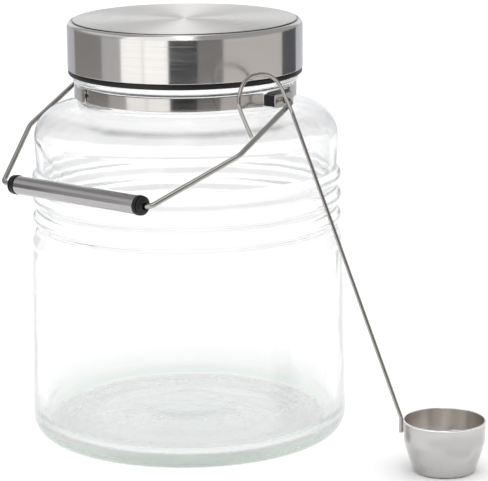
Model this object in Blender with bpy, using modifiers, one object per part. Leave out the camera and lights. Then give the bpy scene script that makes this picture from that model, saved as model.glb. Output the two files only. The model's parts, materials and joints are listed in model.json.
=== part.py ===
# Plum wine jar: glass jar, screw lid, neck strap with a wire bail, and a standing ladle.
# The jar's axis is vertical, the bail turns on an axis along X, and the bail rests towards -Y.
import math

import bmesh
import bpy
from mathutils import Matrix, Vector

for old in list(bpy.data.objects):
    bpy.data.objects.remove(old, do_unlink=True)

MM = 0.001

# Fits between neighbouring pieces
GAP = 0.4
RUN = 0.35

# Glass jar: outside radii, and heights from the floor up
JAR_R = 86.0
JAR_TAPER = 1.2
WALL = 4.4
FOOT_R = 77.5
FOOT_RING = 9.0
HEEL_R = 9.7
HEEL_H = 11.0
INNER_HEEL = 9.0
BASE_T = 7.5
PUNT_R = 50.0
PUNT_FLANK = 4.0
PUNT_RISE = 5.5
FOOT_LIP = 1.2
BODY_TOP_Z = 111.0
BODY_SHOULDER = 22.0
RIB_COUNT = 3
RIB_PITCH = 11.4
RIB_DEPTH = 2.4
RIB_OUT = 0.3
SHOULDER_R = 83.5
SHOULDER_BAND = 20.8
SHOULDER_DEPTH = 19.0
SHOULDER_RISE = 17.5
NECK_FALL = 3.0
NECK_FILLET = 4.0
BEAD_H = 3.7
BEAD_OUT = 0.9
FINISH_H = 23.8

# Neck, with room outside it for the screw thread
MOUTH_R = 52.0
FINISH_R = 57.4
RIM_EDGE = 1.5
THREAD_ROOM = 2.6
GROOVE_STEP = 1.0

# Lid: a steel cover over a black screw cap, with a seal ring
COVER_T = 0.5
COVER_ROOM = 0.4
LID_EDGE_R = 3.2
DISC_INSET = 3.0
DISC_STEP = 0.45
CAP_WALL = 3.0
CAP_PLATE_T = 1.9
CAP_EDGE = 3.0
CAP_RING_H = 3.1
SEAL_T = 2.0
SEAL_OVER = 1.2

# Neck strap: a front length inside, a rear length outside, lapped at the seam
STRAP_T = 0.8
STRAP_H = 7.3
STRAP_UP = 2.4
STRAP_LAP = 14.0
STRAP_SEAM = 111.8
STRAP_FRONT_END = 8.6
STRAP_REAR_END = 4.4

# Ears: a black block on the strap at each side, with a steel bracket over its outer face.
# An ear fills this share of the room between the strap and the bail's arm.
EAR_SHARE = 0.62
EAR_FRONT = 7.6
EAR_BACK = 5.2
EAR_PLATE_T = 0.8
EAR_EDGE = 0.6
EAR_FOOT = 9.0
EAR_SKIN = 1.5

# Bail: one bent wire with a tube grip that turns on it. The elbow's bend takes this share of
# the room between the ear and the arm, and the grip rests slid to one end of its run.
BAIL_WIRE = 2.8
BAIL_INSET = 8.5
BAIL_ARM = 50.4
BAIL_DROOP = 26.5
ELBOW_SHARE = 0.74
BAIL_KNEE = 10.0
BAIL_TURN = 4.5
GRIP_HALF = 47.2
GRIP_SPARE = 5.2
GRIP_SLIDE = 1.7
GRIP_R = 5.0
GRIP_WALL = 0.6
GRIP_CAP = 4.6
GRIP_PLUG = 6.0
GRIP_FLANGE = 0.3
GRIP_BEVEL = 1.6
GRIP_REST = 0.1

# Ladle: a spun cup with a wire handle that ends in a hook
CUP_R = 21.75
CUP_BASE_R = 16.3
CUP_H = 28.0
CUP_T = 0.6
CUP_EDGE = 1.2
LADLE_WIRE = 2.0
TAB_LENGTH = 8.0
TAB_BEND = 4.0
TAB_TURN = 206.7
SHAFT_LEAN = 21.5
SHAFT_TURN = 193.6
SHAFT_BEND = 6.0
HOOK_Y = -4.9
HOOK_DROP = 4.8
HOOK_RISE = 23.3
HOOK_BACK = 14.7
HOOK_WIDTH = 52.9
HOOK_BEND = 23.0
HOOK_CURL = 12.0
HOOK_TIP_IN = 33.8
HOOK_TIP_DROP = 8.6

# Heights worked out from the sizes above
SHOULDER_Z = BODY_TOP_Z + RIB_COUNT * RIB_PITCH + SHOULDER_BAND
NECK_Z = SHOULDER_Z + SHOULDER_RISE + NECK_FALL
STRAP_TOP_Z = NECK_Z + STRAP_UP + STRAP_H
PIVOT_Z = STRAP_TOP_Z - STRAP_H / 2
BEAD_Z = STRAP_TOP_Z + BEAD_OUT
CAP_FOOT_Z = BEAD_Z + BEAD_H + GAP
LID_SKIRT_Z = CAP_FOOT_Z + CAP_RING_H
RIM_Z = CAP_FOOT_Z + FINISH_H
LID_TOP_Z = RIM_Z + GAP + SEAL_T + GAP + CAP_PLATE_T + GAP + COVER_T

# Radii worked out from the sizes above
BAIL_R = BAIL_WIRE / 2
LADLE_R = LADLE_WIRE / 2
HOLE_R = BAIL_R + RUN
JAR_LOW_R = JAR_R + JAR_TAPER
RIB_R = SHOULDER_R + RIB_OUT
CAP_IN_R = FINISH_R + THREAD_ROOM
CAP_R = CAP_IN_R + CAP_WALL
LID_R = CAP_R + GAP + COVER_T + COVER_ROOM
GROOVE_R = FINISH_R + GROOVE_STEP
FRONT_STRAP_R = GROOVE_R + GAP + STRAP_T
REAR_STRAP_R = FRONT_STRAP_R + RUN + STRAP_T
BEAD_R = REAR_STRAP_R + BEAD_OUT
BAIL_U = SHOULDER_R - BAIL_INSET
EAR_OUT = REAR_STRAP_R + EAR_SHARE * (BAIL_U - REAR_STRAP_R)
EAR_BORE_X = REAR_STRAP_R + GAP + EAR_SKIN
BAIL_ELBOW = ELBOW_SHARE * (BAIL_U - EAR_OUT)

# The bail lies against the rib band, and the ladle's hook stands just outside its elbow
DROOP = math.radians(BAIL_DROOP)
BAIL_REACH = (RIB_R + RIB_DEPTH / 2 + GRIP_REST + GRIP_R) / math.cos(DROOP)
BAIL_CORNER = GRIP_HALF + GRIP_SPARE
HOOK_X = BAIL_U + BAIL_R + GAP + LADLE_R
HOOK = Vector((HOOK_X, HOOK_Y, PIVOT_Z - HOOK_DROP))
SHAFT = Vector((
    math.sin(math.radians(SHAFT_LEAN)) * math.cos(math.radians(SHAFT_TURN)),
    math.sin(math.radians(SHAFT_LEAN)) * math.sin(math.radians(SHAFT_TURN)),
    math.cos(math.radians(SHAFT_LEAN)),
))
TAB = Vector((math.cos(math.radians(TAB_TURN)), math.sin(math.radians(TAB_TURN)), 0))
TAB_R = CUP_R + GAP + LADLE_R
TAB_TOP_Z = CUP_H - 0.5
SHAFT_LENGTH = (HOOK.z - TAB_TOP_Z) / SHAFT.z
CUP = HOOK - SHAFT * SHAFT_LENGTH - TAB * TAB_R - Vector((0, 0, TAB_TOP_Z))

# The base of the whole assembly's box is centred on the world's origin
FRONT_Y = -BAIL_REACH * math.cos(DROOP) - GRIP_R
ORIGIN_X = -(CUP.x + CUP_R - JAR_LOW_R) / 2
ORIGIN_Y = -(FRONT_Y + JAR_LOW_R) / 2

parts = bpy.data.collections.new("plum_wine_jar")
cutters = bpy.data.collections.new("plum_wine_jar_cutters")
bpy.context.scene.collection.children.link(parts)
bpy.context.scene.collection.children.link(cutters)


# Materials
def material(name, colour, rough, metal, alpha=1.0):
    mat = bpy.data.materials.new(name)
    mat.use_nodes = True
    shader = mat.node_tree.nodes["Principled BSDF"]
    shader.inputs["Base Color"].default_value = (*colour, 1)
    shader.inputs["Roughness"].default_value = rough
    shader.inputs["Metallic"].default_value = metal
    shader.inputs["Alpha"].default_value = alpha
    mat.diffuse_color = (*colour, alpha)
    return mat


GLASS = material("clear_glass", (0.86, 0.92, 0.90), 0.03, 0.0, 0.35)
BRUSHED = material("brushed_steel", (0.62, 0.60, 0.58), 0.28, 1.0)
STRAP = material("strap_steel", (0.66, 0.64, 0.61), 0.30, 1.0)
WIRE = material("wire_steel", (0.72, 0.70, 0.67), 0.16, 1.0)
TUBE = material("grip_tube_steel", (0.80, 0.79, 0.77), 0.14, 1.0)
SPUN = material("ladle_steel", (0.76, 0.75, 0.73), 0.15, 1.0)
BLACK = material("black_plastic", (0.018, 0.018, 0.020), 0.42, 0.0)
RUBBER = material("seal_rubber", (0.80, 0.80, 0.78), 0.60, 0.0)


# Placing and joining
def add(name, data, mat=None, parent=None, group=None):
    ob = bpy.data.objects.new(name, data)
    (group or parts).objects.link(ob)
    ob.parent = parent
    if mat:
        data.materials.append(mat)
    return ob


def empty(name, place, parent=None, turn=(0, 0, 0)):
    ob = add(name, None, parent=parent)
    ob.location = Vector(place) * MM
    ob.rotation_euler = turn
    return ob


def smooth(mesh, angle=35):
    mesh.shade_smooth()
    mesh.set_sharp_from_angle(angle=math.radians(angle))


def profile_mesh(name, points, closed):
    mesh = bpy.data.meshes.new(name)
    verts = [(r * MM, 0, z * MM) for r, z in points]
    count = len(verts)
    edges = [(i, (i + 1) % count) for i in range(count if closed else count - 1)]
    mesh.from_pydata(verts, edges, [])
    return mesh


def turned(name, points, steps, mat=None, parent=None, closed=False, group=None, sweep=360.0):
    ob = add(name, profile_mesh(name, points, closed), mat, parent, group)
    screw = ob.modifiers.new("turn", "SCREW")
    screw.angle = math.radians(sweep)
    screw.steps = steps
    screw.render_steps = steps
    screw.use_merge_vertices = sweep == 360.0
    screw.merge_threshold = 0.00001
    screw.use_smooth_shade = True
    return ob


def thicken(ob, depth):
    shell = ob.modifiers.new("thickness", "SOLIDIFY")
    shell.thickness = depth * MM
    shell.offset = -1
    shell.use_even_offset = True


def boolean(ob, other, kind):
    cut = ob.modifiers.new(kind.lower(), "BOOLEAN")
    cut.operation = kind
    cut.solver = "EXACT"
    cut.object = other


def hide(ob):
    ob.hide_render = True
    ob.display_type = "WIRE"
    return ob


# Rounded polyline through corners given as (point, bend radius)
def rounded(corners, steps=6):
    out = [corners[0][0]]
    for (before, _), (corner, radius), (after, _) in zip(corners, corners[1:], corners[2:]):
        back = (before - corner).normalized()
        ahead = (after - corner).normalized()
        half = back.angle(ahead) / 2
        reach = radius / math.tan(half)
        centre = corner + (back + ahead).normalized() * radius / math.sin(half)
        start = corner + back * reach - centre
        sweep = start.rotation_difference(corner + ahead * reach - centre)
        axis, angle = sweep.to_axis_angle()
        for i in range(steps + 1):
            out.append(centre + Matrix.Rotation(angle * i / steps, 3, axis) @ start)
    out.append(corners[-1][0])
    return out


def wire(name, points, radius, mat=None, parent=None, group=None):
    curve = bpy.data.curves.new(name, "CURVE")
    curve.dimensions = "3D"
    curve.bevel_depth = radius * MM
    curve.bevel_resolution = 2
    curve.use_fill_caps = True
    spline = curve.splines.new("POLY")
    spline.points.add(len(points) - 1)
    for knot, point in zip(spline.points, points):
        knot.co = (*(point * MM), 1)
    return add(name, curve, mat, parent, group)


def as_mesh(ob):
    graph = bpy.context.evaluated_depsgraph_get()
    mesh = bpy.data.meshes.new_from_object(ob.evaluated_get(graph))
    shape = bmesh.new()
    shape.from_mesh(mesh)
    bmesh.ops.remove_doubles(shape, verts=shape.verts, dist=0.00001)
    shape.to_mesh(mesh)
    shape.free()
    solid = bpy.data.objects.new(ob.name + "_solid", mesh)
    cutters.objects.link(solid)
    solid.matrix_world = ob.matrix_world
    bpy.data.objects.remove(ob, do_unlink=True)
    return hide(solid)


jar = empty("jar_axis", (ORIGIN_X, ORIGIN_Y, 0))


# Glass jar: profile from the inside centre, over the rim, down the outside to the foot
def arc(centre, radii, first, last, steps):
    points = []
    for i in range(steps + 1):
        angle = math.radians(first + (last - first) * i / steps)
        points.append((centre[0] + radii[0] * math.cos(angle), centre[1] + radii[1] * math.sin(angle)))
    return points


def rib_points(per_rib=5):
    points = []
    top = BODY_TOP_Z + (RIB_COUNT + 0.5) * RIB_PITCH
    for i in range(per_rib * RIB_COUNT + 1):
        wave = math.cos(math.tau * i / per_rib)
        points.append((RIB_R - RIB_DEPTH / 2 * wave, top - RIB_PITCH * i / per_rib))
    return points


def jar_inside():
    wall = JAR_R - WALL
    floor = BASE_T + PUNT_RISE
    slope = SHOULDER_R - WALL - SHOULDER_DEPTH
    points = [(0, floor), (PUNT_R - PUNT_FLANK, floor), (PUNT_R + PUNT_FLANK, BASE_T)]
    points += arc((wall - INNER_HEEL, BASE_T + INNER_HEEL), (INNER_HEEL, INNER_HEEL), -90, 0, 4)
    points += arc((slope, SHOULDER_Z), (SHOULDER_DEPTH, SHOULDER_RISE - WALL), 0, 75, 4)
    points += [(MOUTH_R, NECK_Z + NECK_FILLET)]
    return points


def jar_outside():
    half = (FINISH_R - MOUTH_R) / 2
    points = arc((MOUTH_R + half, RIM_Z - RIM_EDGE), (half, RIM_EDGE), 180, 0, 4)
    points += [(FINISH_R, BEAD_Z + BEAD_H)]
    points += arc((BEAD_R - BEAD_H / 2, BEAD_Z + BEAD_H / 2), (BEAD_H / 2, BEAD_H / 2), 75, -75, 4)
    points += [(GROOVE_R, BEAD_Z), (GROOVE_R, NECK_Z)]
    points += [(GROOVE_R + NECK_FILLET, NECK_Z - NECK_FALL / 2)]
    slope = SHOULDER_R - SHOULDER_DEPTH
    points += arc((slope, SHOULDER_Z), (SHOULDER_DEPTH, SHOULDER_RISE), 68, 0, 5)
    points += rib_points()
    points += [(JAR_R - RIB_OUT, BODY_TOP_Z - RIB_DEPTH / 2), (JAR_R, BODY_TOP_Z - BODY_SHOULDER)]
    points += arc((JAR_LOW_R - HEEL_R, HEEL_H), (HEEL_R, HEEL_H), 0, -90, 5)
    points += [(FOOT_R - FOOT_RING, 0), (PUNT_R + PUNT_FLANK, FOOT_LIP)]
    points += [(PUNT_R - PUNT_FLANK, PUNT_RISE), (0, PUNT_RISE)]
    return points


def glass_jar():
    turned("jar_glass", jar_inside() + jar_outside(), 48, GLASS, jar)


# Lid: the seal ring rises with the lid, and the cap and cover also turn
def lid():
    rise = empty("lid_rise", (0, 0, RIM_Z), jar)
    turn = empty("lid_turn", (0, 0, 0), rise)
    inner = MOUTH_R - SEAL_OVER
    outer = CAP_IN_R - GAP
    low, high = GAP, GAP + SEAL_T
    ring = [(outer, high), (outer, low), (inner, low), (inner, high)]
    turned("lid_seal_ring", ring, 48, RUBBER, rise, closed=True)
    inner_cap(turn, high + GAP)
    cover(turn)


def inner_cap(turn, under):
    top = under + CAP_PLATE_T
    foot = CAP_FOOT_Z - RIM_Z
    shelf = foot + CAP_RING_H - GAP
    lip = LID_R - COVER_ROOM
    points = [(0, top), (CAP_R - CAP_EDGE, top), (CAP_R, top - CAP_EDGE), (CAP_R, shelf)]
    points += [(lip, shelf), (lip, foot), (CAP_IN_R, foot), (CAP_IN_R, under), (0, under)]
    turned("lid_inner_cap", points, 48, BLACK, turn)


def cover(turn):
    top = LID_TOP_Z - RIM_Z
    disc = LID_R - DISC_INSET
    points = [(0, top), (disc, top), (disc + DISC_STEP, top - DISC_STEP)]
    points += arc((LID_R - LID_EDGE_R, top - LID_EDGE_R), (LID_EDGE_R, LID_EDGE_R), 70, 0, 4)
    points += [(LID_R, LID_SKIRT_Z - RIM_Z)]
    shell = turned("lid_cover", points, 64, BRUSHED, turn)
    thicken(shell, COVER_T)


# Neck strap: arcs are lengths of a flat band, turned from a vertical line
def strap_arc(name, outer, first, last):
    steps = round((last - first) / 5)
    line = [(outer, STRAP_TOP_Z), (outer, STRAP_TOP_Z - STRAP_H)]
    band = turned(name, line, steps, STRAP, jar, sweep=last - first)
    band.rotation_euler = (0, 0, math.radians(first))
    thicken(band, STRAP_T)


def strap():
    seam = 360.0 - STRAP_SEAM
    strap_arc("strap_front", FRONT_STRAP_R, seam - STRAP_LAP, 360.0 - STRAP_FRONT_END)
    strap_arc("strap_rear", REAR_STRAP_R, -STRAP_REAR_END, seam)


# Each ear's wire hole runs along X through the bracket and into the block
def drill(name, side):
    mesh = bpy.data.meshes.new(name)
    shape = bmesh.new()
    bmesh.ops.create_cone(shape, cap_ends=True, segments=20, radius1=HOLE_R * MM,
                          radius2=HOLE_R * MM, depth=2 * (EAR_OUT - EAR_BORE_X) * MM)
    shape.to_mesh(mesh)
    shape.free()
    tool = add(name, mesh, parent=jar, group=cutters)
    tool.location = Vector((side * EAR_OUT, 0, PIVOT_Z)) * MM
    tool.rotation_euler = (0, math.pi / 2, 0)
    return hide(tool)


def slab(name, outline, height, mat):
    curve = bpy.data.curves.new(name, "CURVE")
    curve.dimensions = "2D"
    curve.fill_mode = "BOTH"
    curve.extrude = height / 2 * MM
    spline = curve.splines.new("POLY")
    spline.points.add(len(outline) - 1)
    spline.use_cyclic_u = True
    for knot, (x, y) in zip(spline.points, outline):
        knot.co = (x * MM, y * MM, 0, 1)
    shape = add(name + "_outline", curve, group=cutters)
    bpy.context.view_layer.update()
    solid = as_mesh(shape)
    mesh = solid.data
    bpy.data.objects.remove(solid, do_unlink=True)
    ob = add(name, mesh, mat, jar)
    ob.location = (0, 0, PIVOT_Z * MM)
    return ob


def ear_block(side):
    inner = REAR_STRAP_R + GAP
    outer = EAR_OUT - EAR_PLATE_T - GAP
    outline = [(side * x, y) for x, y in (
        (inner, -EAR_FRONT), (outer, -EAR_FRONT), (outer, EAR_BACK), (inner, EAR_BACK))]
    return slab(f"ear_block_{'right' if side > 0 else 'left'}", outline, STRAP_H - 2 * EAR_EDGE, BLACK)


# The bracket covers the block, steps in behind it and lies along the strap
def ear_bracket(side):
    rest = REAR_STRAP_R + GAP
    edge = EAR_BACK + GAP
    outside = [(EAR_OUT, -EAR_FRONT - EAR_EDGE), (EAR_OUT, edge + EAR_PLATE_T)]
    inside = [(EAR_OUT - EAR_PLATE_T, edge), (EAR_OUT - EAR_PLATE_T, -EAR_FRONT - EAR_EDGE)]
    under, over = [], []
    for i in range(4):
        angle = math.asin(edge / rest) + i / 3 * EAR_FOOT / rest
        under.append((rest * math.cos(angle), rest * math.sin(angle)))
        if i:
            top = rest + EAR_PLATE_T
            over.append((top * math.cos(angle), top * math.sin(angle)))
    knee = [(over[0][0], edge + EAR_PLATE_T)]
    outline = outside + knee + over + under[::-1] + inside
    outline = [(side * x, y) for x, y in outline]
    return slab(f"ear_bracket_{'right' if side > 0 else 'left'}", outline, STRAP_H, STRAP)


def ears():
    for side in (1, -1):
        bore = drill(f"bore_{side}", side)
        boolean(ear_block(side), bore, "DIFFERENCE")
        boolean(ear_bracket(side), bore, "DIFFERENCE")


# Bail: drawn lying towards -Y in its own plane, then drooped about the pivot axis
def bail():
    pivot = empty("bail_pivot", (0, 0, PIVOT_Z), jar, (DROOP, 0, 0))
    half = [
        (Vector((EAR_BORE_X + GAP, 0, 0)), 0),
        (Vector((BAIL_U, 0, 0)), BAIL_ELBOW),
        (Vector((BAIL_U, -BAIL_ARM, 0)), BAIL_KNEE),
        (Vector((BAIL_CORNER, -BAIL_REACH, 0)), BAIL_TURN),
    ]
    other = [(Vector((-p.x, p.y, 0)), r) for p, r in reversed(half)]
    wire("bail_wire", rounded(half + other), BAIL_R, WIRE, pivot)
    spin = empty("grip_axis", (GRIP_SLIDE, -BAIL_REACH, 0), pivot, (0, math.pi / 2, 0))
    grip(spin)


def grip(spin):
    tube = GRIP_HALF - GRIP_CAP - GAP
    bore = GRIP_R - GRIP_WALL
    ring = [(GRIP_R, tube), (GRIP_R, -tube), (bore, -tube), (bore, tube)]
    turned("grip_tube", ring, 24, TUBE, spin, closed=True)
    outer = GRIP_R + GRIP_FLANGE
    inner = BAIL_R + RUN
    back = GRIP_HALF - GRIP_CAP
    for side, turn in (("left", math.pi), ("right", 0.0)):
        points = [(inner, GRIP_HALF), (outer - GRIP_BEVEL, GRIP_HALF), (outer, GRIP_HALF - GRIP_BEVEL)]
        points += [(outer, back), (bore - GAP, back)]
        points += [(bore - GAP, back - GRIP_PLUG), (inner, back - GRIP_PLUG)]
        cap = turned(f"grip_cap_{side}", points, 24, BLACK, spin, closed=True)
        cap.rotation_euler = (0, turn, 0)


# Ladle: cup on the floor, its wire up past the jar's shoulder to a flat hook
def ladle():
    base = empty("ladle_lift", (CUP.x, CUP.y, 0), jar)
    points = [(CUP_R, CUP_H), (CUP_R - CUP_T / 2, CUP_H * 0.62), (CUP_R - 2 * CUP_T, CUP_H * 0.5)]
    points += [(CUP_BASE_R + CUP_EDGE, 2 * CUP_EDGE), (CUP_BASE_R, CUP_EDGE / 2), (CUP_BASE_R - CUP_EDGE, 0)]
    points += [(0, 0)]
    cup = turned("ladle_cup", points, 36, SPUN, base)
    thicken(cup, CUP_T)
    bend = TAB * TAB_R + Vector((0, 0, TAB_TOP_Z))
    hook = bend + SHAFT * SHAFT_LENGTH
    corners = [
        (bend - Vector((0, 0, TAB_LENGTH)), 0),
        (bend, TAB_BEND),
        (hook, SHAFT_BEND),
        (hook + Vector((0, -HOOK_BACK, HOOK_RISE)), HOOK_BEND),
        (hook + Vector((0, -HOOK_WIDTH, HOOK_RISE)), HOOK_CURL),
        (hook + Vector((0, -HOOK_TIP_IN, -HOOK_TIP_DROP)), 0),
    ]
    wire("ladle_handle", rounded(corners), LADLE_R, WIRE, base)


glass_jar()
lid()
strap()
ears()
bail()
ladle()

for ob in parts.objects:
    if ob.type == "MESH":
        smooth(ob.data)
bpy.context.view_layer.update()
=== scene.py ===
# Plum wine jar: glass jar with a steel screw lid, a wire bail on a neck strap, and its ladle.
# Sizes are in millimetres, and every piece is made in place, on its own upright axis.
import json
import math

import bmesh
import bpy
from mathutils import Matrix, Vector

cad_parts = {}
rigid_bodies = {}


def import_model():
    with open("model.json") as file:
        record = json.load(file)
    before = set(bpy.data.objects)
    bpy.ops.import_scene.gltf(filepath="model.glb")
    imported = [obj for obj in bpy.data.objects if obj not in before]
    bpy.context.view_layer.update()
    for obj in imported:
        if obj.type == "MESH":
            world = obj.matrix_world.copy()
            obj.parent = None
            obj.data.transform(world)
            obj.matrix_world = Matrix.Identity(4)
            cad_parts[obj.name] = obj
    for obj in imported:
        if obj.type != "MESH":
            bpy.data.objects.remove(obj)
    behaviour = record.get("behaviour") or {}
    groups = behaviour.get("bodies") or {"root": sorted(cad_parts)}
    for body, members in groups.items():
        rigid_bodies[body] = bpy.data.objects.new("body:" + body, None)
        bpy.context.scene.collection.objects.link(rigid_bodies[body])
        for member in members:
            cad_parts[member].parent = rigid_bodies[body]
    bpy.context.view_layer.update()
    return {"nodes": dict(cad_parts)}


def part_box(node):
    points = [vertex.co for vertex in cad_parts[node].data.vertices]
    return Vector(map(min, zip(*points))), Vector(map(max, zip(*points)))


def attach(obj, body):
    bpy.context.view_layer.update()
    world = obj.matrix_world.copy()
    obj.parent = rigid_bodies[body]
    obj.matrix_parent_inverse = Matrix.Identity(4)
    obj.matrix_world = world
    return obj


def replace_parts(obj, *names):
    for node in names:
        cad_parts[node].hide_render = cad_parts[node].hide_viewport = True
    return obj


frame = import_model()


# Studio: a pale floor under an even white sky. Gloss sees a grey ceiling with a long soft box,
# a window at the front left, a high fill on the left, a low white backdrop, and a ring of pale
# and dark cards. The camera stands where the photograph was taken from.
MM = 0.001


def middle(node):
    low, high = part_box(node)
    return (low + high) / 2


JAR_AXIS = Vector((middle("lid_cover").x, middle("lid_cover").y, 0))
# Camera: its bearing round the jar, its aim, and its place in metres
CAMERA_TURN = math.radians(40.7)
CAMERA_YAW = math.radians(1.302)
CAMERA_PITCH = math.radians(12.825)
CAMERA_ROLL = math.radians(-0.483)
CAMERA_AWAY = 1.376
CAMERA_HEIGHT = 0.4194
LENS = 187.75
SENSOR = 36.0
MOST_BOUNCES = 72
# Sky over matt surfaces, at the horizon and overhead, and what is added under glass
SKY_LOW = 0.62
SKY_HIGH = 1.7
UNDER_GLASS = 0.55
# Brightness of what gloss sees
CEILING = 0.42
BACKDROP = 0.95
WINDOW = 0.8
FILL = 0.35
SOFT_BOX = 0.85
SOFT_BOX_HALF = 0.06
SOFT_BOX_EDGE = 0.10
# How much darker the sky is at the sides through glass, and all round from inside it
THROUGH_DIM = 0.12
INSIDE_DIM = 0.10
# Floor and ring of cards, in metres
FLOOR_R = 5.0
CARD_RING = 0.72
CARD_TOP = 0.31
CARD_FOOT = -1.2
# What each card shows, by its bearing from the camera, in degrees to the right
CARDS = (
    (-180, (0.92, 0.95, 1.00)), (-160, (0.56, 0.56, 0.60)), (-132, (0.285, 0.27, 0.265)),
    (-85, (0.54, 0.53, 0.53)), (-62, (1.38, 1.36, 1.34)), (-41, (1.15, 1.12, 1.10)),
    (-38, (1.42, 1.40, 1.38)), (-16, (0.04, 0.04, 0.042)), (11, (0.22, 0.21, 0.205)),
    (34, (0.63, 0.60, 0.57)), (104, (0.11, 0.11, 0.12)), (131, (0.62, 0.63, 0.67)),
    (160, (0.92, 0.95, 1.00)),
)


class Link:
    """A socket that varies over a surface, with arithmetic that adds Math nodes."""

    def __init__(self, finish, socket):
        self.finish = finish
        self.socket = socket

    def maths(self, operation, *others):
        inputs = dict(enumerate((self, *others)))
        return self.finish.node("ShaderNodeMath", {"operation": operation}, inputs)

    def __neg__(self):
        return self.maths("MULTIPLY", -1.0)

    def __abs__(self):
        return self.maths("ABSOLUTE")

    def __add__(self, other):
        return self.maths("ADD", other)

    def __sub__(self, other):
        return self.maths("SUBTRACT", other)

    def __rsub__(self, other):
        return -self + other

    def __mul__(self, other):
        return self.maths("MULTIPLY", other)

    def __truediv__(self, other):
        return self.maths("DIVIDE", other)

    def __pow__(self, other):
        return self.maths("POWER", other)

    __radd__ = __add__
    __rmul__ = __mul__

    def at_least(self, low):
        return self.maths("MAXIMUM", low)

    def clamped(self):
        return self.at_least(0.0).maths("MINIMUM", 1.0)

    def between(self, low, high):
        """Rises smoothly from 0 at low to 1 at high."""
        limits = {"From Min": low, "From Max": high, "Value": self}
        return self.finish.node("ShaderNodeMapRange", {"interpolation_type": "SMOOTHSTEP"}, limits)


class Finish:
    """One finish: a node tree with a Principled surface whose plain values are set by name."""

    def __init__(self, name, owner=None, **plain):
        self.owner = owner or bpy.data.materials.new(name)
        self.owner.use_nodes = True
        self.tree = self.owner.node_tree
        self.surface = self.tree.nodes.get("Principled BSDF")
        for key, value in plain.items():
            self.socket(key).default_value = value

    def socket(self, key):
        return self.surface.inputs[key.replace("_", " ")]

    def node(self, kind, settings=None, inputs=None, output=0):
        added = self.tree.nodes.new(kind)
        for key, value in (settings or {}).items():
            if key == "stops":
                self.set_stops(added.color_ramp, value)
            else:
                setattr(added, key, value)
        for key, value in (inputs or {}).items():
            self.feed(added.inputs[key], value)
        return Link(self, added.outputs[output])

    def set_stops(self, ramp, stops):
        """Colours that hold from one stop to the next."""
        ramp.interpolation = "CONSTANT"
        while len(ramp.elements) < len(stops):
            ramp.elements.new(1.0)
        for element, (place, colour) in zip(ramp.elements, stops):
            element.position = place
            element.color = (*colour, 1)

    def feed(self, socket, value):
        if isinstance(value, Link):
            self.tree.links.new(value.socket, socket)
        else:
            socket.default_value = value

    def wear(self, **links):
        for key, value in links.items():
            self.feed(self.socket(key), value)

    def worn(self, key):
        """The link that already feeds one of the surface's sockets."""
        return Link(self, self.socket(key).links[0].from_socket)

    def axes(self, vector, names="XYZ"):
        return [self.node("ShaderNodeSeparateXYZ", None, {0: vector}, name) for name in names]

    def place(self):
        """Object coordinates in millimetres, as three numbers."""
        coords = self.node("ShaderNodeTexCoord", output="Object")
        return self.axes(self.node("ShaderNodeVectorMath", {"operation": "SCALE"}, {0: coords, "Scale": 1 / MM}))

    def vector(self, x, y, z):
        return self.node("ShaderNodeCombineXYZ", None, {"X": x, "Y": y, "Z": z})

    def noise(self, vector, scale, detail=2.0, rough=0.5):
        inputs = {"Vector": vector, "Scale": scale, "Detail": detail, "Roughness": rough}
        return self.node("ShaderNodeTexNoise", None, inputs, "Fac")

    def mix(self, factor, first, second):
        first, second = ((*colour, 1) if isinstance(colour, tuple) else colour for colour in (first, second))
        return self.node("ShaderNodeMix", {"data_type": "RGBA"}, {"Factor": factor, 6: first, 7: second}, 2)

    def bump(self, height, depth, strength=1.0):
        inputs = {"Height": height, "Distance": depth * MM, "Strength": strength}
        return self.node("ShaderNodeBump", None, inputs)


world = bpy.data.worlds.new("studio_sky")
bpy.context.scene.world = world
sky = Finish("sky", world)

# A direction is split into aside of the camera's line, ahead along it, and up
east, north, up = sky.axes(sky.node("ShaderNodeTexCoord", output="Generated"))
aside = east * math.cos(CAMERA_TURN) + north * math.sin(CAMERA_TURN)
ahead = north * math.cos(CAMERA_TURN) - east * math.sin(CAMERA_TURN)
off_line = abs(aside)

# The lights that gloss sees, each as a mask
soft_box = (1 - off_line.between(SOFT_BOX_HALF, SOFT_BOX_HALF + SOFT_BOX_EDGE)) * up.between(0.30, 0.42)
slant_ahead = off_line / ahead.at_least(0.01)
backdrop = (1 - slant_ahead.between(0.35, 0.80)) * (1 - up.between(0.32, 0.55))
slant_back = aside / (-ahead).at_least(0.01)
window = slant_back.between(-2.1, -1.8) * (1 - slant_back.between(0.02, 0.35))
fill = (-aside).between(0.60, 0.76) * up.between(0.25, 0.40)
studio = backdrop * (BACKDROP - CEILING) + window * WINDOW + soft_box * SOFT_BOX + fill * FILL + CEILING

# The even white sky, brighter overhead for matt surfaces and a little darker through glass
seen, through, gloss, matt, in_glass = (
    sky.node("ShaderNodeLightPath", output=name)
    for name in ("Is Camera Ray", "Is Transmission Ray", "Is Glossy Ray", "Diffuse Depth", "Transmission Depth")
)
matt = matt.clamped()
in_glass = in_glass.clamped()
overhead = up.between(0.35, 0.85) * (SKY_HIGH - SKY_LOW) + SKY_LOW
side_dim = (1 - seen) * off_line.between(0.45, 0.92) * THROUGH_DIM
clear = (1 - side_dim) * (1 - gloss * in_glass * INSIDE_DIM)
lit = (1 - matt) * clear + matt * overhead * (through * UNDER_GLASS + 1)
outer_gloss = gloss * (1 - in_glass)

background = sky.tree.nodes["Background"]
sky.feed(background.inputs["Strength"], outer_gloss * studio + (1 - outer_gloss) * lit)
sky.feed(background.inputs["Color"], (1.0, 1.0, 1.0, 1))


def made(name, shape, finish):
    """An object in the scene from a bmesh, in one finish."""
    mesh = bpy.data.meshes.new(name)
    shape.to_mesh(mesh)
    shape.free()
    mesh.materials.append(finish.owner)
    ob = bpy.data.objects.new(name, mesh)
    bpy.context.scene.collection.objects.link(ob)
    return ob


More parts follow.
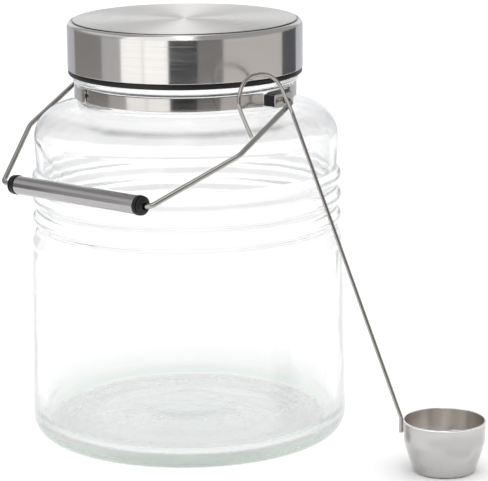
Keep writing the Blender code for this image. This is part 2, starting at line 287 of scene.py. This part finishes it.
floor_paint = Finish("floor_paint", Base_Color=(0.93, 0.93, 0.93, 1), Roughness=0.9, Specular_IOR_Level=0.1)
floor_shape = bmesh.new()
bmesh.ops.create_circle(floor_shape, cap_ends=True, segments=96, radius=FLOOR_R)
made("floor", floor_shape, floor_paint)

# The cards show their own shades to gloss, and plain white from inside the glass
card_paint = Finish("card_paint")
card_x, card_y, _ = card_paint.place()
bearing = card_x.maths("ARCTAN2", -card_y) * (180 / math.pi) - math.degrees(CAMERA_TURN)
turn_share = (bearing.maths("WRAP", 180.0, -180.0) + 180) / 360
stops = [((degrees + 180) / 360, shade) for degrees, shade in CARDS]
shades = card_paint.node("ShaderNodeValToRGB", {"stops": stops}, {"Fac": turn_share})
from_inside = card_paint.node("ShaderNodeLightPath", output="Transmission Depth").clamped()
paper = card_paint.mix(from_inside, shades, (1 - INSIDE_DIM, 1 - INSIDE_DIM, 1 - INSIDE_DIM * 0.8))
card_glow = card_paint.node("ShaderNodeEmission", None, {"Color": paper, "Strength": 1.0})
card_paint.feed(card_paint.tree.nodes["Material Output"].inputs["Surface"], card_glow)
card_shape = bmesh.new()
bmesh.ops.create_cone(
    card_shape, segments=128, radius1=CARD_RING, radius2=CARD_RING, depth=CARD_TOP - CARD_FOOT)
cards = made("cards", card_shape, card_paint)
cards.location = JAR_AXIS + Vector((0, 0, (CARD_TOP + CARD_FOOT) / 2))
cards.visible_camera = False
cards.visible_diffuse = False
cards.visible_transmission = False
cards.visible_shadow = False

camera = bpy.data.objects.new("camera", bpy.data.cameras.new("camera"))
bpy.context.scene.collection.objects.link(camera)
bpy.context.scene.camera = camera
camera.data.sensor_width = SENSOR
camera.data.lens = LENS
aim = Matrix.Rotation(CAMERA_TURN - CAMERA_YAW, 3, "Z")
aim = aim @ Matrix.Rotation(math.pi / 2 - CAMERA_PITCH, 3, "X") @ Matrix.Rotation(CAMERA_ROLL, 3, "Z")
camera.rotation_euler = aim.to_euler()
away = Vector((math.sin(CAMERA_TURN), -math.cos(CAMERA_TURN), 0)) * CAMERA_AWAY
camera.location = JAR_AXIS + away + Vector((0, 0, CAMERA_HEIGHT))
bpy.context.scene.view_settings.view_transform = "Standard"
for count in ("max_bounces", "transmission_bounces", "glossy_bounces"):
    setattr(bpy.context.scene.cycles, count, MOST_BOUNCES)


# Glass jar: blown soda glass with a punt under the base, three moulded ribs at the carrying
# height and a two-start screw finish. It is clear, and green where the eye looks along it.
JAR_R = 86.0
JAR_LOW_R = 87.2
WALL = 5.0
UPPER_WALL = 3.5
BASE_Z = 7.3
PUNT_Z = 14.0
PUNT_UNDER_Z = 7.2
FOOT_R = 77.5
HEEL_H = 11.0
RIBS = 3
RIB_STEPS = 20
RIB_R = 83.8
RIB_DEPTH = 2.4
RIB_PITCH = 11.4
RIB_TOP_Z = 150.9
RIB_WALL = 3.9
SHOULDER_R = 83.5
SHOULDER_Z = 166.0
SHOULDER_BEND = 19.0
SHOULDER_RISE = 17.5
SHOULDER_INNER_RISE = 13.1
NECK_Z = 186.5
GROOVE_R = 58.4
STRAP_TOP_Z = 196.2
BEAD_R = 61.65
BEAD_Z = 197.1
BEAD_TOP_Z = 200.8
FINISH_R = 57.4
MOUTH_R = 52.0
RIM_Z = 225.0
THREAD_DEPTH = 1.6
THREAD_LEAD = 12.0
THREAD_STARTS = 2
THREAD_FADE = 2.5
THREAD_LOW_Z = 203.0
THREAD_HIGH_Z = 221.5
THREAD_ROWS = 34
CLEAR_GLASS = (0.98, 0.98, 0.983)
# Grey painted over the heel as shade of the floor seen through the base
HEEL_SHADE_GLASS = (0.86, 0.865, 0.865)
GREEN_GLASS = (0.66, 0.77, 0.68)


def flat(r, z):
    return Vector((r, 0, z))


def arc(centre, radii, first, last, steps):
    """Points of an ellipse from one angle to another, in degrees."""
    points = []
    for i in range(steps + 1):
        angle = math.radians(first + (last - first) * i / steps)
        points.append(flat(centre[0] + radii[0] * math.cos(angle), centre[1] + radii[1] * math.sin(angle)))
    return points


def rounded(corners, steps=8):
    """A path through corners given as (point, bend radius)."""
    out = [corners[0][0]]
    for (before, _), (corner, radius), (after, _) in zip(corners, corners[1:], corners[2:]):
        back = (before - corner).normalized()
        ahead = (after - corner).normalized()
        half = back.angle(ahead) / 2
        if radius <= 0 or half > math.pi / 2 - 0.02:
            out.append(corner)
            continue
        reach = radius / math.tan(half)
        centre = corner + (back + ahead).normalized() * radius / math.sin(half)
        start = corner + back * reach - centre
        axis, angle = start.rotation_difference(corner + ahead * reach - centre).to_axis_angle()
        for i in range(steps + 1):
            out.append(centre + Matrix.Rotation(angle * i / steps, 3, axis) @ start)
    out.append(corners[-1][0])
    return out


def placed(name, shape, body, finish, origin=JAR_AXIS, crease=35):
    """A piece of the object, smooth except where its faces meet at more than the crease."""
    ob = made(name, shape, finish)
    ob.data.shade_smooth()
    ob.data.set_sharp_from_angle(angle=math.radians(crease))
    ob.location = origin
    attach(ob, body)
    return ob


def turned(name, profile, steps, body, finish, swell=None, closed=False, origin=JAR_AXIS):
    """A turned piece: the profile's points swept round the origin's vertical axis."""
    shape = bmesh.new()
    rings = []
    for point in profile:
        if point.x < 1e-6 and not closed:
            rings.append([shape.verts.new((0, 0, point.z * MM))] * steps)
            continue
        ring = []
        for i in range(steps):
            angle = math.tau * i / steps
            radius = point.x + (swell(angle, point.x, point.z) if swell else 0.0)
            ring.append(shape.verts.new(
                (radius * math.cos(angle) * MM, radius * math.sin(angle) * MM, point.z * MM)))
        rings.append(ring)
    pairs = zip(rings, rings[1:] + rings[:1]) if closed else zip(rings, rings[1:])
    for upper, lower in pairs:
        for i in range(steps):
            j = (i + 1) % steps
            corners = [upper[i], upper[j], lower[j], lower[i]]
            shape.faces.new(list(dict.fromkeys(corners)))
    bmesh.ops.recalc_face_normals(shape, faces=shape.faces)
    return placed(name, shape, body, finish, origin)


def thread_swell(angle, height, depth, low, high):
    """How far a screw thread stands out at this bearing and height."""
    if not low < height < high:
        return 0.0
    pitch = THREAD_LEAD / THREAD_STARTS
    along = (height - THREAD_LEAD * angle / math.tau) % pitch / pitch - 0.5
    fade = min(1.0, (height - low) / THREAD_FADE, (high - height) / THREAD_FADE)
    return depth * fade * max(0.0, math.cos(along * math.tau) * 1.6 - 0.6)


def jar_thread(angle, radius, height):
    if abs(radius - FINISH_R) > 0.1:
        return 0.0
    return thread_swell(angle, height, THREAD_DEPTH, THREAD_LOW_Z, THREAD_HIGH_Z)


def jar_profile():
    """Half of the jar's section, from inside the punt, over the rim, to under the punt."""
    inner = JAR_R - WALL
    rib_inner = SHOULDER_R - RIB_WALL
    thread_top, thread_foot = RIM_Z - 3, BEAD_TOP_Z + 1
    # Inside: base, wall and shoulder
    points = rounded([
        (flat(0, PUNT_Z), 0), (flat(22, PUNT_Z - 0.4), 40), (flat(52, BASE_Z + 0.3), 50),
        (flat(inner, BASE_Z), 9.0), (flat(inner, 40.0), 60), (flat(JAR_R - UPPER_WALL, 107.0), 8),
        (flat(rib_inner, 114.0), 8), (flat(rib_inner, SHOULDER_Z - 1), 0),
    ], 10)
    points += arc((rib_inner - SHOULDER_BEND, SHOULDER_Z), (SHOULDER_BEND, SHOULDER_INNER_RISE), 0, 62, 12)
    # Neck, rim and the rows that carry the thread
    points += rounded([
        (flat(67.8, 178.3), 0), (flat(MOUTH_R, 184.5), 7.0), (flat(MOUTH_R, RIM_Z), 1.6),
        (flat(FINISH_R, RIM_Z), 1.4), (flat(FINISH_R, thread_top), 0),
    ], 8)
    points += [flat(FINISH_R, thread_top - (thread_top - thread_foot) * i / THREAD_ROWS)
               for i in range(1, THREAD_ROWS + 1)]
    # Outside: bead, strap groove and shoulder
    points += rounded([
        (flat(FINISH_R, BEAD_TOP_Z + 0.9), 0), (flat(FINISH_R, BEAD_TOP_Z), 0.5),
        (flat(BEAD_R, BEAD_TOP_Z), 1.9), (flat(BEAD_R, BEAD_Z), 1.7), (flat(GROOVE_R, BEAD_Z), 0.7),
        (flat(GROOVE_R, NECK_Z), 2.2), (flat(66.5, 184.2), 20), (flat(71.5, 182.27), 0),
    ], 8)
    points += arc((SHOULDER_R - SHOULDER_BEND, SHOULDER_Z), (SHOULDER_BEND, SHOULDER_RISE), 66, 0, 20)
    # Ribs, the step out to the body, heel, foot ring and punt
    for i in range(RIBS * RIB_STEPS):
        depth = RIB_DEPTH / 2 * math.cos(math.tau * i / RIB_STEPS)
        points.append(flat(RIB_R - depth, RIB_TOP_Z - RIB_PITCH * i / RIB_STEPS))
    points += rounded([
        (flat(RIB_R - RIB_DEPTH / 2, RIB_TOP_Z - RIB_PITCH * RIBS), 0), (flat(83.6, 115.0), 4),
        (flat(85.6, 109.5), 7), (flat(JAR_R, 100.0), 30), (flat(JAR_LOW_R, 14.0), 0),
    ], 6)
    points += arc((FOOT_R, HEEL_H), (JAR_LOW_R - FOOT_R, HEEL_H), 0, -90, 14)
    points += rounded([
        (flat(FOOT_R - 1.5, 0), 0), (flat(FOOT_R - 9.0, 0), 3), (flat(58, 1.0), 30),
        (flat(24, PUNT_UNDER_Z - 0.4), 60), (flat(0, PUNT_UNDER_Z), 0),
    ], 8)
    return points


def off_axis(x, y):
    """How far a place is from its piece's own upright axis."""
    return (x * x + y * y) ** 0.5


glass = Finish("clear_glass", Base_Color=(0.985, 0.985, 0.988, 1), Roughness=0.0, IOR=1.5, Transmission_Weight=1.0)
x, y, z = glass.place()
# Slow waves all over, and a pebbled grain at the heel and on the foot
waves = glass.noise(glass.vector(x * 0.6, y * 0.6, z * 0.35), 0.05)
grain = glass.noise(glass.vector(x, y, z), 0.9, 1.0)
foot = 1 - z.between(0.4, 3.0)
heel = 1 - z.between(12.0, 34.0)
# Green at the edge of the heel and under the punt, grey painted over the heel as shade of the floor seen through
# the base, and haze from the ribs to the strap
heel_edge = off_axis(x, y).between(81.0, 83.5) * (1 - z.between(4.0, 11.0))
under_punt = (1 - off_axis(x, y).between(15.0, 50.0)) * (1 - z.between(7.0, 8.5))
heel_shade_and_green = glass.mix(heel_edge + under_punt * 0.8, HEEL_SHADE_GLASS, GREEN_GLASS)
upper_haze = z.between(146.0, 162.0) * (1 - z.between(186.0, 192.0))
collar_haze = z.between(172.0, 178.0) * (1 - z.between(183.0, 187.0))
glass.wear(
    Base_Color=glass.mix(heel, CLEAR_GLASS, heel_shade_and_green),
    Normal=glass.bump(waves + grain * (foot * 0.6 + heel * 0.22), 0.5, 0.8),
    Roughness=heel * 0.07 + upper_haze * 0.05 + collar_haze * 0.11,
)
tint = glass.node("ShaderNodeVolumeAbsorption", None, {"Color": (0.84, 0.94, 0.90, 1), "Density": 1.6})
glass.feed(glass.tree.nodes["Material Output"].inputs["Volume"], tint)
jar = turned("jar", jar_profile(), 192, "jar", glass, swell=jar_thread)
jar.visible_diffuse = False
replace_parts(jar, "jar_glass")


# Lid cover: a pressed cup of stainless sheet over the cap. The disc on top is brushed in
# circles and set down by a small step, and the skirt is brushed round.
LID_R = 64.3
LID_TOP_Z = 230.6
SKIRT_Z = 204.3
COVER_T = 0.5
DISC_ROUGH = 0.44
SKIRT_ROUGH = 0.15


def steel(name, colour, rough, brushed, fine, across, along, show=1.0):
    """Stainless steel brushed round the piece's own axis. Fine is the depth of the lines,
    across and along say how tight they are each way, and show how plainly they are seen."""
    finish = Finish(name, Base_Color=(*colour, 1), Metallic=1.0, Roughness=rough, Anisotropic=brushed,
                    Anisotropic_Rotation=0.25)
    x, y, z = finish.place()
    bearing = x.maths("ARCTAN2", y)
    brush = finish.vector(off_axis(x, y) * across, bearing * along, z * across)
    lines = finish.noise(brush, 1.0, 3.0, 0.6)
    scuff = finish.noise(finish.vector(x, y, z), 0.03)
    dark = tuple(c * (1 - 0.14 * show) for c in colour)
    finish.wear(
        Roughness=(lines - 0.5) * (0.18 * show) + (scuff - 0.5) * 0.10 + rough,
        Base_Color=finish.mix((lines - 0.35).clamped() * 1.2, colour, dark),
        Normal=finish.bump(lines, fine, 0.35),
    )
    return finish


lid_steel = steel(
    "brushed_steel", (0.68, 0.67, 0.66), SKIRT_ROUGH, brushed=0.8, fine=0.004, across=2.2, along=2.5)
x, y, z = lid_steel.place()
# The disc is duller than the skirt, and the step round it is painted near black as the shade in its groove
disc = z.between(LID_TOP_Z - 1.0, LID_TOP_Z - 0.6)
groove_shade = off_axis(x, y).between(60.9, 61.0) * (1 - off_axis(x, y).between(61.6, 61.8))
groove_shade = groove_shade * (1 - z.between(LID_TOP_Z - 0.3, LID_TOP_Z - 0.12))
lid_steel.wear(
    Roughness=disc * (DISC_ROUGH - SKIRT_ROUGH) + lid_steel.worn("Roughness"),
    Base_Color=lid_steel.mix(groove_shade, lid_steel.worn("Base Color"), (0.06, 0.058, 0.056)),
)
cover_profile = rounded([
    (flat(0, LID_TOP_Z), 0), (flat(60.95, LID_TOP_Z), 0.2), (flat(61.05, LID_TOP_Z - 0.95), 0.1),
    (flat(61.55, LID_TOP_Z - 0.95), 0.1), (flat(61.75, LID_TOP_Z - 0.6), 0.15),
    (flat(62.0, LID_TOP_Z - 0.58), 0),
], 8)
cover_profile += arc((LID_R - 2.3, LID_TOP_Z - 3.7), (2.3, 3.1), 88, 0, 12)
cover_profile += rounded([
    (flat(LID_R, SKIRT_Z + 1.0), 0), (flat(LID_R, SKIRT_Z), 0.25), (flat(LID_R - COVER_T, SKIRT_Z), 0.2),
    (flat(LID_R - COVER_T, LID_TOP_Z - 1.4), 2.4), (flat(60.6, LID_TOP_Z - 1.5), 0.2),
    (flat(60.4, LID_TOP_Z - COVER_T), 0.2), (flat(0, LID_TOP_Z - COVER_T), 0),
], 8)
cover = turned("lid_steel_cover", cover_profile, 192, "lid", lid_steel)
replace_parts(cover, "lid_cover")


# Screw cap and seal: black moulded cap inside the cover, with the thread in its bore, and a
# white silicone ring that seats on the jar's rim.
CAP_R = 63.0
CAP_RING_R = 63.9
CAP_BORE = 60.0
CAP_FOOT_Z = 201.2
CAP_RING_Z = 203.9
CAP_PLATE_Z = 228.4
CAP_TOP_Z = 229.0
CAP_THREAD_DEPTH = 1.5
CAP_THREAD_LOW_Z = 203.5
CAP_THREAD_HIGH_Z = 219.0
CAP_THREAD_ROWS = 30
SEAL_Z = 225.4
SEAL_TOP_Z = 227.4


def plastic(name, colour, rough):
    """Moulded plastic or rubber with a fine grain and a faint cloud in its colour."""
    finish = Finish(name, Base_Color=(*colour, 1), Roughness=rough, Specular_IOR_Level=0.25)
    x, y, z = finish.place()
    grain = finish.noise(finish.vector(x, y, z), 2.2)
    cloud = finish.noise(finish.vector(x, y, z), 0.12, 1.0)
    finish.wear(
        Base_Color=finish.mix(cloud, colour, tuple(c * 1.9 + 0.002 for c in colour)),
        Roughness=grain * 0.12 + (rough - 0.06),
        Normal=finish.bump(grain, 0.03, 0.4),
    )
    return finish


def cap_thread(angle, radius, height):
    """The cap's thread, half a pitch off the jar's."""
    if abs(radius - CAP_BORE) > 0.01:
        return 0.0
    half_pitch = THREAD_LEAD / THREAD_STARTS / 2
    return -thread_swell(angle, height - half_pitch, CAP_THREAD_DEPTH, CAP_THREAD_LOW_Z, CAP_THREAD_HIGH_Z)


black = plastic("black_plastic", (0.007, 0.007, 0.008), 0.34)
screw_profile = rounded([
    (flat(0, CAP_TOP_Z), 0), (flat(CAP_R, CAP_TOP_Z), 2.6), (flat(CAP_R, CAP_RING_Z), 0),
    (flat(CAP_RING_R, CAP_RING_Z), 0.3), (flat(CAP_RING_R, CAP_FOOT_Z), 0.9),
    (flat(CAP_BORE, CAP_FOOT_Z), 0.8), (flat(CAP_BORE, 204.0), 0),
], 6)
screw_profile += [flat(CAP_BORE, 204.0 + 20.0 * i / CAP_THREAD_ROWS) for i in range(1, CAP_THREAD_ROWS + 1)]
screw_profile += [flat(CAP_BORE, 227.8), flat(49.0, 227.8), flat(47.5, CAP_PLATE_Z), flat(0, CAP_PLATE_Z)]
screw_cap = turned("lid_screw_cap", screw_profile, 192, "lid", black, swell=cap_thread)
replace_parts(screw_cap, "lid_inner_cap")

rubber = plastic("seal_silicone", (0.78, 0.78, 0.75), 0.5)
seal_profile = rounded([
    (flat(55.0, SEAL_TOP_Z), 0), (flat(59.6, SEAL_TOP_Z), 0.4), (flat(59.6, SEAL_Z), 0.4),
    (flat(50.8, SEAL_Z), 0.4), (flat(50.8, SEAL_TOP_Z), 0.4), (flat(54.9, SEAL_TOP_Z), 0),
], 3)
seal = turned("seal_ring", seal_profile, 128, "lid_seal", rubber, closed=True)
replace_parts(seal, "lid_seal_ring")


# Neck strap: stainless strip bent round the groove under the bead. The front length lies
# against the glass, the rear length laps over it, and both end in rounded corners.
STRAP_T = 0.8
STRAP_EDGE = 0.22
STRAP_CROWN = 0.12
STRAP_LOW_Z = 188.9
FRONT_STRAP_R = 59.6
REAR_STRAP_R = 60.75
# Bearings of the ends, in degrees
STRAP_SEAM = 248.2
STRAP_LAP = 14
FRONT_END = 352.8
REAR_START = -4.4
END_CORNER = 2.6
SQUARE_CORNER = 0.3
FLARE = 2.0
FLARE_TURN = 6.5


def faces_out(finish, x, y):
    """How far out from its axis a surface lies, negative where it faces the axis."""
    facing = finish.node("ShaderNodeTexCoord", output="Normal")
    out_x, out_y = finish.axes(facing, "XY")
    return x * out_x + y * out_y


def strap_section(shape, outer, angle, drop):
    """One section of the strip, whose edges draw in by drop at a rounded end."""
    low, high = STRAP_LOW_Z + drop, STRAP_TOP_Z - drop
    inner = outer - STRAP_T
    corners = (
        (inner, low), (outer - STRAP_EDGE, low), (outer, low + STRAP_EDGE),
        (outer + STRAP_CROWN, (low + high) / 2), (outer, high - STRAP_EDGE),
        (outer - STRAP_EDGE, high), (inner, high),
    )
    return [shape.verts.new((r * math.cos(angle) * MM, r * math.sin(angle) * MM, z * MM)) for r, z in corners]


def strap(name, outer, first, last, corners, node, flare=0.0):
    """A length of strip between two bearings, with a corner's radius at each end. Its last
    few degrees may bend outwards by the flare."""
    shape = bmesh.new()
    steps = int((last - first) * 1.5)
    rows = []
    low, high = first + math.degrees(corners[0] / outer), last - math.degrees(corners[1] / outer)
    for i in range(steps + 1):
        turn = low + (high - low) * i / steps
        lift = flare * max(0.0, 1 - (last - turn) / FLARE_TURN) ** 1.6
        rows.append(strap_section(shape, outer + lift, math.radians(turn), 0.0))
    for end, sign, corner in ((first, -1, corners[0]), (last, 1, corners[1])):
        tip = []
        for i in range(1, 7):
            step = math.pi / 12 * i
            along = corner * (math.sin(step) - 1) / outer
            drop = corner * (1 - math.cos(step))
            tip.append(strap_section(shape, outer + flare * (sign > 0), math.radians(end) + sign * along, drop))
        rows = rows + tip if sign > 0 else tip[::-1] + rows
    for one, two in zip(rows, rows[1:]):
        for i in range(len(one)):
            j = (i + 1) % len(one)
            shape.faces.new((one[i], one[j], two[j], two[i]))
    shape.faces.new(rows[0])
    shape.faces.new(rows[-1])
    bmesh.ops.recalc_face_normals(shape, faces=shape.faces)
    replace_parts(placed(name, shape, "jar", strap_steel), node)


strap_steel = steel(
    "strap_steel", (0.58, 0.565, 0.545), 0.15, brushed=0.5, fine=0.004, across=1.4, along=1.2)
x, y, _ = strap_steel.place()
# The face against the glass is brighter than the outer one
inner_face = faces_out(strap_steel, x, y).between(-20.0, -40.0)
strap_steel.wear(Base_Color=strap_steel.mix(inner_face, strap_steel.worn("Base Color"), (0.93, 0.925, 0.915)))
strap("strap_front_band", FRONT_STRAP_R, STRAP_SEAM - STRAP_LAP, FRONT_END, (END_CORNER, SQUARE_CORNER),
      "strap_front", FLARE)
strap("strap_rear_band", REAR_STRAP_R, REAR_START, STRAP_SEAM, (END_CORNER, END_CORNER), "strap_rear")


# Ears: a black moulded block on the strap at each side, and a steel bracket over its outer
# face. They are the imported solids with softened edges.
BLOCK_EDGE = 0.5
BRACKET_EDGE = 0.25

for side in ("right", "left"):
    for node, finish, soft in (("ear_block", black, BLOCK_EDGE), ("ear_bracket", strap_steel, BRACKET_EDGE)):
        ear = frame["nodes"][f"{node}_{side}"]
        ear.data.materials.clear()
        ear.data.materials.append(finish.owner)
        weld = ear.modifiers.new("weld", "WELD")
        weld.merge_threshold = 0.00001
        bevel = ear.modifiers.new("soft_edges", "BEVEL")
        bevel.width = soft * MM
        bevel.segments = 2
        bevel.limit_method = "ANGLE"
        bevel.angle_limit = math.radians(40)


# Bail: one stainless wire with its ends in the ears, bent at the elbows and the grip's ends.
# It lies forwards and down, with the grip against the top rib.
BAIL_WIRE_R = 1.4
BAIL_U = 75.0
BAIL_ARM = 50.4
BAIL_REACH = 100.68
BAIL_CORNER = 52.4
BAIL_DROOP = math.radians(26.5)
PIVOT_Z = 192.55
BAIL_END = 63.05


def wire_steel(name, colour, rough):
    """Bright drawn wire, with faint streaks and specks."""
    finish = Finish(name, Base_Color=(*colour, 1), Metallic=1.0, Roughness=rough)
    x, y, z = finish.place()
    streaks = finish.noise(finish.vector(x * 0.2, y * 0.2, z * 0.2), 1.0, 3.0)
    specks = finish.noise(finish.vector(x, y, z), 1.6)
    finish.wear(
        Roughness=(streaks - 0.5) * 0.08 + rough,
        Base_Color=finish.mix(streaks, colour, tuple(c * 0.84 for c in colour)),
        Normal=finish.bump(specks, 0.004, 0.25),
    )
    return finish


def bent_wire(name, points, radius, body, finish, node, origin):
    """A round wire through the points, which replaces a node or adds to it."""
    curve = bpy.data.curves.new(name, "CURVE")
    curve.dimensions = "3D"
    curve.bevel_depth = radius * MM
    curve.bevel_resolution = 6
    curve.use_fill_caps = True
    spline = curve.splines.new("POLY")
    spline.points.add(len(points) - 1)
    for knot, point in zip(spline.points, points):
        knot.co = (*(point * MM), 1)
    spline.use_smooth = True
    curve.materials.append(finish.owner)
    ob = bpy.data.objects.new(name, curve)
    ob.location = origin
    bpy.context.scene.collection.objects.link(ob)
    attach(ob, body)
    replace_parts(ob, node)


bright_wire = wire_steel("wire_steel", (0.43, 0.415, 0.395), 0.03)
droop = Matrix.Rotation(BAIL_DROOP, 3, "X")
right_half = [
    (Vector((BAIL_END, 0, 0)), 0),
    (Vector((BAIL_U, 0, 0)), 4.0),
    (Vector((BAIL_U, -BAIL_ARM, 0)), 10.0),
    (Vector((BAIL_CORNER, -BAIL_REACH, 0)), 4.5),
]
left_half = [(Vector((-point.x, point.y, 0)), bend) for point, bend in reversed(right_half)]
bail_path = [droop @ point for point in rounded(right_half + left_half, 14)]
pivot = JAR_AXIS + Vector((0, 0, PIVOT_Z * MM))
bent_wire("bail", bail_path, BAIL_WIRE_R, "bail", bright_wire, "bail_wire", pivot)


# Grip: a thin steel tube that turns on the bail's front run. A black moulded cap plugs each
# end, and the wire runs through the holes in the caps.
GRIP_HALF = 47.2
GRIP_R = 5.0
GRIP_BORE_R = 4.4
GRIP_CAP = 4.6
GRIP_SLIDE = 1.7
CAP_PLUG_R = 4.1
CAP_HOLE_R = 1.75


def sideways(ob, centre):
    """Lays a piece turned about its own vertical axis along X at the centre."""
    body = ob.parent
    ob.parent = None
    ob.matrix_world = Matrix.Translation(centre) @ Matrix.Rotation(math.pi / 2, 4, "Y")
    ob.parent = body
    return ob


grip_centre = pivot + droop @ Vector((GRIP_SLIDE * MM, -BAIL_REACH * MM, 0))
tube_steel = steel(
    "grip_tube_steel", (0.44, 0.43, 0.43), 0.18, brushed=0.3, fine=0.012, across=0.3, along=9.0)
tube_end = GRIP_HALF - GRIP_CAP - 0.3
tube_profile = rounded([
    (flat(GRIP_BORE_R, 0), 0), (flat(GRIP_BORE_R, -tube_end), 0.2), (flat(GRIP_R, -tube_end), 0.25),
    (flat(GRIP_R, tube_end), 0.25), (flat(GRIP_BORE_R, tube_end), 0.2), (flat(GRIP_BORE_R, 0.1), 0),
], 4)
tube = turned("grip_steel_tube", tube_profile, 64, "grip", tube_steel, closed=True)
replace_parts(sideways(tube, grip_centre), "grip_tube")

end_profile = rounded([
    (flat(CAP_HOLE_R, 37.0), 0), (flat(CAP_HOLE_R, GRIP_HALF), 0.4), (flat(3.9, GRIP_HALF), 0.9),
    (flat(5.0, 46.3), 0.6), (flat(5.0, 45.4), 0.2), (flat(4.5, 45.3), 0.1), (flat(4.5, 44.9), 0.1),
    (flat(5.3, 44.8), 0.25), (flat(5.3, GRIP_HALF - GRIP_CAP), 0.3),
    (flat(CAP_PLUG_R, GRIP_HALF - GRIP_CAP), 0), (flat(CAP_PLUG_R, 36.5), 0.3), (flat(CAP_HOLE_R, 36.5), 0),
], 5)
for side, sign in (("left", -1), ("right", 1)):
    mirrored = [flat(point.x, point.z * sign) for point in end_profile]
    end_cap = turned(f"grip_end_{side}", mirrored, 48, "grip", black, closed=True)
    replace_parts(sideways(end_cap, grip_centre), f"grip_cap_{side}")


# Ladle: a spun cup on the floor with its wire welded up the side. The wire leans past the
# jar's shoulder and ends in a flat hook beside the bail's elbow.
CUP = middle("ladle_cup") - Vector((0, 0, 0.014))
CUP_R = 21.75
CUP_H = 28.0
CUP_T = 0.6
ROLL = 0.2
LADLE_R = 1.0
TAB_TURN = math.radians(206.7)
TAB_TOP_Z = 27.5
TAB_R = CUP_R + 0.4 + LADLE_R
HOOK = Vector((77.8, -4.9, 187.75))
WELD_R = 0.5
WELD_DROP = 7.2
WELD_MARK = (-10.8, -18.9, 21.5)
DULL_CUP = (0.47, 0.457, 0.452)
PALE_CLOUD = (0.64, 0.628, 0.625)
HEAT_MARK = (0.22, 0.21, 0.20)
PIT = (0.16, 0.15, 0.14)
CUP_INSIDE = (0.78, 0.75, 0.72)
# A painted highlight along the rolled edge
ROLL_HIGHLIGHT = (0.95, 0.94, 0.93)

spun = steel("ladle_steel", DULL_CUP, 0.22, brushed=0.1, fine=0.0008, across=1.2, along=1.2, show=0.25)
x, y, z = spun.place()
# Dull outside with pale clouds, a heat mark beside the weld and pits low down, a brighter
# inside, and a painted highlight along the rolled edge
bowl = faces_out(spun, x, y).between(1.0, -1.0)
roll_highlight = z.between(CUP_H - 0.75, CUP_H - 0.6)
cloud = spun.noise(spun.vector(x, y, z * 1.5), 0.055, 1.0).between(0.35, 0.62)
pits = spun.noise(spun.vector(x, y, z), 0.55, 1.0).between(0.68, 0.75) * (1 - z.between(10.0, 18.0))
from_mark = sum((axis - at) ** 2.0 for axis, at in zip((x, y, z), WELD_MARK)) ** 0.5
outside = spun.mix(cloud * 0.5, spun.worn("Base Color"), PALE_CLOUD)
outside = spun.mix((1 - from_mark.between(1.5, 5.5)) * 0.75, outside, HEAT_MARK)
outside = spun.mix(pits * 0.6, outside, PIT)
spun.wear(Base_Color=spun.mix(roll_highlight, spun.mix(bowl, outside, CUP_INSIDE), ROLL_HIGHLIGHT))
cup_profile = rounded([
    (flat(0, CUP_T), 0), (flat(15.2, CUP_T), 2.6), (flat(19.0, 11.5), 8), (flat(20.9, 17.0), 8),
    (flat(CUP_R - CUP_T, CUP_H - 1.2), 0), (flat(CUP_R - CUP_T - 0.1, CUP_H), 0.35),
    (flat(CUP_R + ROLL, CUP_H), 0.4), (flat(CUP_R + ROLL, CUP_H - 0.7), 0.2), (flat(CUP_R, CUP_H - 0.9), 0),
    (flat(21.45, 17.0), 9), (flat(19.2, 9.0), 9), (flat(16.3, 0), 2.2), (flat(0, 0), 0),
], 8)
cup = turned("ladle_spun_cup", cup_profile, 128, "ladle", spun, origin=CUP)
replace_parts(cup, "ladle_cup")

tab = Vector((math.cos(TAB_TURN), math.sin(TAB_TURN), 0)) * TAB_R + Vector((0, 0, TAB_TOP_Z))
hook = JAR_AXIS / MM + HOOK - CUP / MM
handle_path = rounded([
    (tab - Vector((0, 0, 8.0)), 0), (tab, 4.0), (hook, 6.0),
    (hook + Vector((0, -14.7, 23.3)), 23.0), (hook + Vector((0, -52.9, 23.3)), 12.0),
    (hook + Vector((0, -33.8, -8.6)), 0),
], 16)
bent_wire("ladle_wire", handle_path, LADLE_R, "ladle", bright_wire, "ladle_handle", CUP)
bead = tab / TAB_R * (CUP_R + 0.15)
bead_path = [Vector((bead.x, bead.y, TAB_TOP_Z - WELD_DROP + 0.5 * i)) for i in range(14)]
bent_wire("ladle_weld", bead_path, WELD_R, "ladle", spun, "ladle_handle", CUP)
